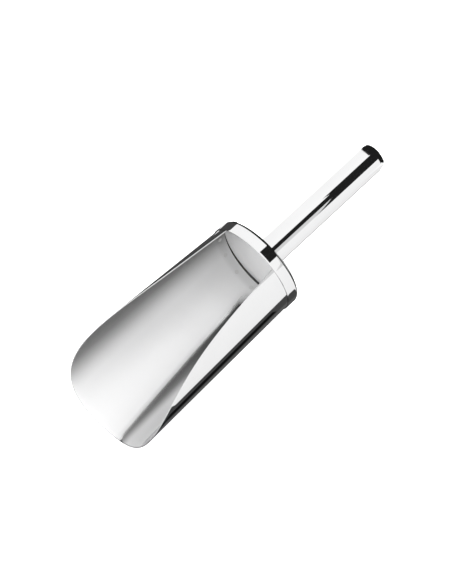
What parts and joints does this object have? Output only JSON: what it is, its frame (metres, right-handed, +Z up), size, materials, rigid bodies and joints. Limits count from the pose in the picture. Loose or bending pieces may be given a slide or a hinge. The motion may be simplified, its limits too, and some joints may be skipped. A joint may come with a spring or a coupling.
{
  "type": "ice scoop",
  "caption": "Polished steel ice scoop: rolled round bowl cut away at the top into a broad rounded lip, closed by a lapped end cap with a straight tube handle.",
  "frame": {"origin": "middle of the bounding box's underside: on the floor under the bowl, halfway between the lip and the end of the handle", "axes": "+Z up, towards the bowl's opening; +Y along the handle, from the lip towards the handle's free end; +X to the right when looking along +Y"},
  "size_m": [0.0982, 0.326, 0.087],
  "materials": {
    "bowl_steel": "mirror-polished stainless sheet with fine use scratches",
    "cap_steel": "mirror-polished stainless pressing",
    "handle_steel": "mirror-polished stainless tube",
    "end_plate_steel": "polished stainless plate, ground flush",
    "spot_weld_steel": "dull pressed spot-weld mark",
    "weld_bead_steel": "smoothed weld bead"
  },
  "bodies": {
    "root": {"bowl": "bowl_steel", "end_cap": "cap_steel", "handle_tube": "handle_steel", "handle_end_plate": "end_plate_steel", "spot_welds": "spot_weld_steel", "handle_weld_bead": "weld_bead_steel"}
  },
  "joints": []
}
